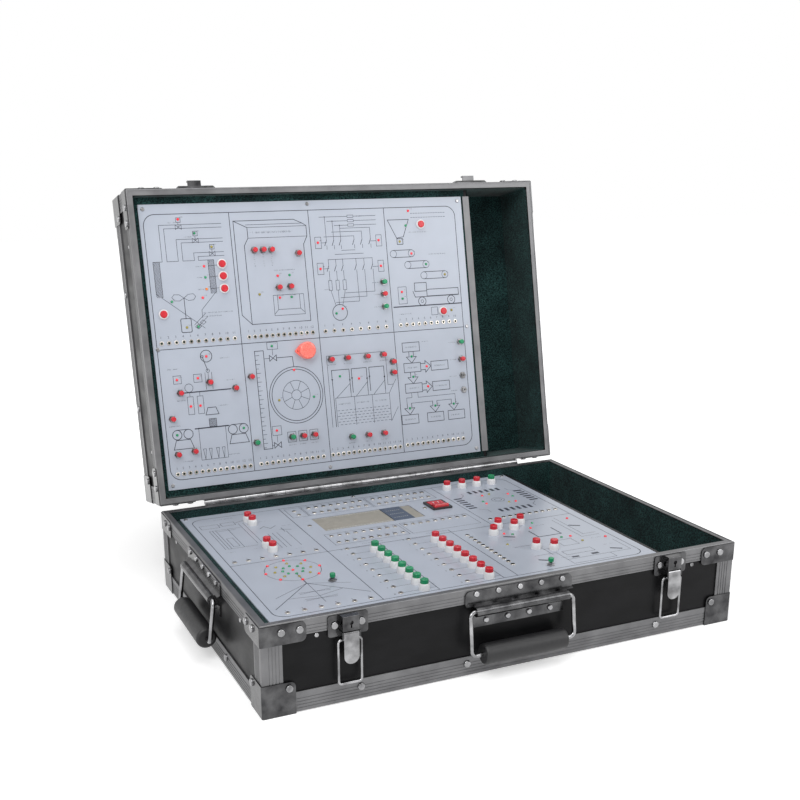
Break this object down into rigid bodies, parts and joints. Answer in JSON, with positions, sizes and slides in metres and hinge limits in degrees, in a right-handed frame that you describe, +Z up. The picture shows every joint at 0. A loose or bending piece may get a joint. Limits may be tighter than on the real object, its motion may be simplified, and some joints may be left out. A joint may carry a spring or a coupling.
{
  "type": "programmable logic controller trainer",
  "caption": "Aluminium-edged flight case with a trainer panel in the lid and one in the base, patch sockets, lights, push buttons and storage wells.",
  "frame": {"origin": "middle of the base's underside, level with the table", "axes": "+Z up, -Y the front with the latches, +X along the case to the side of the storage wells"},
  "size_m": [0.6304, 0.6062, 0.5178],
  "materials": {
    "laminate": "glossy black laminate on plywood",
    "trim": "ribbed, clear anodised",
    "corner_steel": "polished plated steel",
    "rivet_steel": "polished",
    "velvet": "short dark teal flock",
    "panel": "printed, satin",
    "socket": "plated",
    "light": "clear coloured domes",
    "button_body": "white",
    "module": "moulded beige",
    "supply": "folded sheet",
    "circuit": "green circuit board",
    "switch_black": "black",
    "red_cap": "red",
    "green_cap": "green",
    "hardware": "polished plated steel",
    "grip": "black",
    "buzzer": "red, translucent"
  },
  "bodies": {
    "base": {"base_wall_boards": "laminate", "base_floor_board": "laminate", "base_rim": "trim", "base_edge_trims": "trim", "base_corner_caps": "corner_steel", "base_lining": "velvet", "base_panel": "panel", "base_sockets": "socket", "base_lights": "light", "base_button_bodies": "button_body", "controller_module": "module", "power_supply": "supply", "base_circuit_board": "circuit", "switch_body": "switch_black", "latch_plates": "hardware", "handle_brackets": "hardware", "base_rivets": "rivet_steel", "base_hinge_leaf": "hardware"},
    "lid": {"lid_wall_boards": "laminate", "lid_top_board": "laminate", "lid_rim": "trim", "lid_edge_trims": "trim", "lid_corner_caps": "corner_steel", "lid_lining": "velvet", "lid_panel": "panel", "lid_sockets": "socket", "lid_lights": "light", "lid_button_bodies": "button_body", "lid_circuit_board": "circuit", "lid_catches": "hardware", "lid_rivets": "rivet_steel", "lid_hinge_leaf": "hardware", "buzzer": "buzzer"},
    "rocker": {"rocker": "red_cap"},
    "front_handle": {"front_handle_bail": "hardware", "front_handle_grip": "grip"},
    "side_handle": {"side_handle_bail": "hardware", "side_handle_grip": "grip"},
    "latch_lever_left": {"latch_lever_left": "hardware"},
    "latch_lever_right": {"latch_lever_right": "hardware"},
    "latch_bail_left": {"latch_bail_left": "hardware"},
    "latch_bail_right": {"latch_bail_right": "hardware"},
    "base_button_caps": {"base_button_caps": "red_cap"},
    "lid_button_caps": {"lid_button_caps": "red_cap"},
    "green_cap_1": {"green_cap_1": "green_cap"},
    "red_cap_1": {"red_cap_1": "red_cap"},
    "green_cap_2": {"green_cap_2": "green_cap"},
    "red_cap_2": {"red_cap_2": "red_cap"},
    "green_cap_3": {"green_cap_3": "green_cap"},
    "red_cap_3": {"red_cap_3": "red_cap"},
    "green_cap_4": {"green_cap_4": "green_cap"},
    "red_cap_4": {"red_cap_4": "red_cap"},
    "green_cap_5": {"green_cap_5": "green_cap"},
    "red_cap_5": {"red_cap_5": "red_cap"},
    "green_cap_6": {"green_cap_6": "green_cap"},
    "red_cap_6": {"red_cap_6": "red_cap"},
    "green_cap_7": {"green_cap_7": "green_cap"},
    "red_cap_7": {"red_cap_7": "red_cap"},
    "green_cap_8": {"green_cap_8": "green_cap"},
    "red_cap_8": {"red_cap_8": "red_cap"}
  },
  "joints": [
    {"name": "lid_hinge", "type": "hinge", "parent": "base", "child": "lid", "pos_m": [0, 0.2081, 0.1054], "axis": [1, 0, 0], "range_deg": [0, 101.8]},
    {"name": "rocker_tilt", "type": "hinge", "parent": "base", "child": "rocker", "pos_m": [0.0555, 0.104, 0.0915], "axis": [1, 0, 0], "range_deg": [0, 14]},
    {"name": "front_handle_swing", "type": "hinge", "parent": "base", "child": "front_handle", "pos_m": [0, -0.2125, 0.079], "axis": [-1, 0, 0], "range_deg": [0, 90]},
    {"name": "side_handle_swing", "type": "hinge", "parent": "base", "child": "side_handle", "pos_m": [-0.3085, 0, 0.079], "axis": [0, 1, 0], "range_deg": [0, 90]},
    {"name": "latch_lever_left_swing", "type": "hinge", "parent": "base", "child": "latch_lever_left", "pos_m": [-0.205, -0.212, 0.082], "axis": [1, 0, 0], "range_deg": [-90, 0]},
    {"name": "latch_bail_left_swing", "type": "hinge", "parent": "latch_lever_left", "child": "latch_bail_left", "pos_m": [-0.205, -0.2095, 0.075], "axis": [-1, 0, 0], "range_deg": [0, 178]},
    {"name": "latch_lever_right_swing", "type": "hinge", "parent": "base", "child": "latch_lever_right", "pos_m": [0.205, -0.212, 0.082], "axis": [1, 0, 0], "range_deg": [-90, 0]},
    {"name": "latch_bail_right_swing", "type": "hinge", "parent": "latch_lever_right", "child": "latch_bail_right", "pos_m": [0.205, -0.2095, 0.075], "axis": [-1, 0, 0], "range_deg": [0, 178]},
    {"name": "green_cap_1_press", "type": "slide", "parent": "base", "child": "green_cap_1", "axis": [0, 0, -1], "range_m": [0, 0.002], "stiffness_N_per_m": 500, "springref_m": -0.001},
    {"name": "red_cap_1_press", "type": "slide", "parent": "base", "child": "red_cap_1", "axis": [0, 0, -1], "range_m": [0, 0.002], "stiffness_N_per_m": 500, "springref_m": -0.001},
    {"name": "green_cap_2_press", "type": "slide", "parent": "base", "child": "green_cap_2", "axis": [0, 0, -1], "range_m": [0, 0.002], "stiffness_N_per_m": 500, "springref_m": -0.001},
    {"name": "red_cap_2_press", "type": "slide", "parent": "base", "child": "red_cap_2", "axis": [0, 0, -1], "range_m": [0, 0.002], "stiffness_N_per_m": 500, "springref_m": -0.001},
    {"name": "green_cap_3_press", "type": "slide", "parent": "base", "child": "green_cap_3", "axis": [0, 0, -1], "range_m": [0, 0.002], "stiffness_N_per_m": 500, "springref_m": -0.001},
    {"name": "red_cap_3_press", "type": "slide", "parent": "base", "child": "red_cap_3", "axis": [0, 0, -1], "range_m": [0, 0.002], "stiffness_N_per_m": 500, "springref_m": -0.001},
    {"name": "green_cap_4_press", "type": "slide", "parent": "base", "child": "green_cap_4", "axis": [0, 0, -1], "range_m": [0, 0.002], "stiffness_N_per_m": 500, "springref_m": -0.001},
    {"name": "red_cap_4_press", "type": "slide", "parent": "base", "child": "red_cap_4", "axis": [0, 0, -1], "range_m": [0, 0.002], "stiffness_N_per_m": 500, "springref_m": -0.001},
    {"name": "green_cap_5_press", "type": "slide", "parent": "base", "child": "green_cap_5", "axis": [0, 0, -1], "range_m": [0, 0.002], "stiffness_N_per_m": 500, "springref_m": -0.001},
    {"name": "red_cap_5_press", "type": "slide", "parent": "base", "child": "red_cap_5", "axis": [0, 0, -1], "range_m": [0, 0.002], "stiffness_N_per_m": 500, "springref_m": -0.001},
    {"name": "green_cap_6_press", "type": "slide", "parent": "base", "child": "green_cap_6", "axis": [0, 0, -1], "range_m": [0, 0.002], "stiffness_N_per_m": 500, "springref_m": -0.001},
    {"name": "red_cap_6_press", "type": "slide", "parent": "base", "child": "red_cap_6", "axis": [0, 0, -1], "range_m": [0, 0.002], "stiffness_N_per_m": 500, "springref_m": -0.001},
    {"name": "green_cap_7_press", "type": "slide", "parent": "base", "child": "green_cap_7", "axis": [0, 0, -1], "range_m": [0, 0.002], "stiffness_N_per_m": 500, "springref_m": -0.001},
    {"name": "red_cap_7_press", "type": "slide", "parent": "base", "child": "red_cap_7", "axis": [0, 0, -1], "range_m": [0, 0.002], "stiffness_N_per_m": 500, "springref_m": -0.001},
    {"name": "green_cap_8_press", "type": "slide", "parent": "base", "child": "green_cap_8", "axis": [0, 0, -1], "range_m": [0, 0.002], "stiffness_N_per_m": 500, "springref_m": -0.001},
    {"name": "red_cap_8_press", "type": "slide", "parent": "base", "child": "red_cap_8", "axis": [0, 0, -1], "range_m": [0, 0.002], "stiffness_N_per_m": 500, "springref_m": -0.001},
    {"name": "base_button_caps_press", "type": "slide", "parent": "base", "child": "base_button_caps", "axis": [0, 0, -1], "range_m": [0, 0.0012], "stiffness_N_per_m": 1500, "springref_m": -0.001},
    {"name": "lid_button_caps_press", "type": "slide", "parent": "lid", "child": "lid_button_caps", "axis": [0, 0.9789, -0.2045], "range_m": [0, 0.0012], "stiffness_N_per_m": 1500, "springref_m": -0.001}
  ]
}
